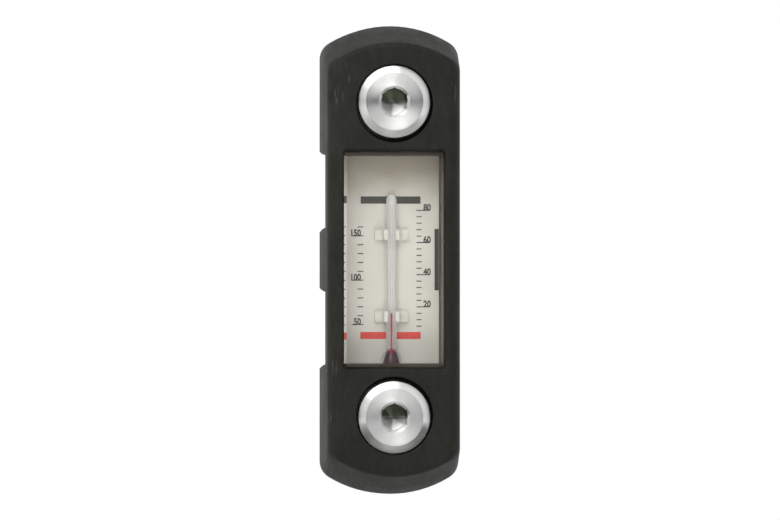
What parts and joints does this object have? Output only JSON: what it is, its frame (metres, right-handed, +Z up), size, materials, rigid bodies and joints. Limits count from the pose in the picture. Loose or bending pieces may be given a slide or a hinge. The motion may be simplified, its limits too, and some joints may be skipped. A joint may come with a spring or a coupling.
{
  "type": "tank level gauge",
  "caption": "Oil level gauge with thermometer in a domed protective frame, clamped to a tank wall by hollow screws.",
  "frame": {"origin": "centre of the tank face, midway between the two screws", "axes": "+Z up the gauge as it hangs, +Y out of the tank face into the tank, +X to the right for the reader in front"},
  "size_m": [0.033, 0.0373, 0.113],
  "materials": {
    "frame_nylon": "matt moulded, glass-filled",
    "clear_body": "clear, polished",
    "back_clear": "clear, moulded",
    "plate_white": "satin white",
    "tube_glass": "clear",
    "spirit_red": "red liquid",
    "screw_zinc": "zinc plated, turned",
    "seal_rubber": "black nitrile"
  },
  "bodies": {
    "root": {"cover_frame": "frame_nylon", "sight_glass": "clear_body", "back_plate": "back_clear", "scale_plate": "plate_white", "thermometer_tube": "tube_glass", "thermometer_liquid": "spirit_red", "hollow_screw_upper": "screw_zinc", "hollow_screw_lower": "screw_zinc", "head_seal_upper": "seal_rubber", "head_seal_lower": "seal_rubber", "tank_seal_upper": "seal_rubber", "tank_seal_lower": "seal_rubber"}
  },
  "joints": []
}
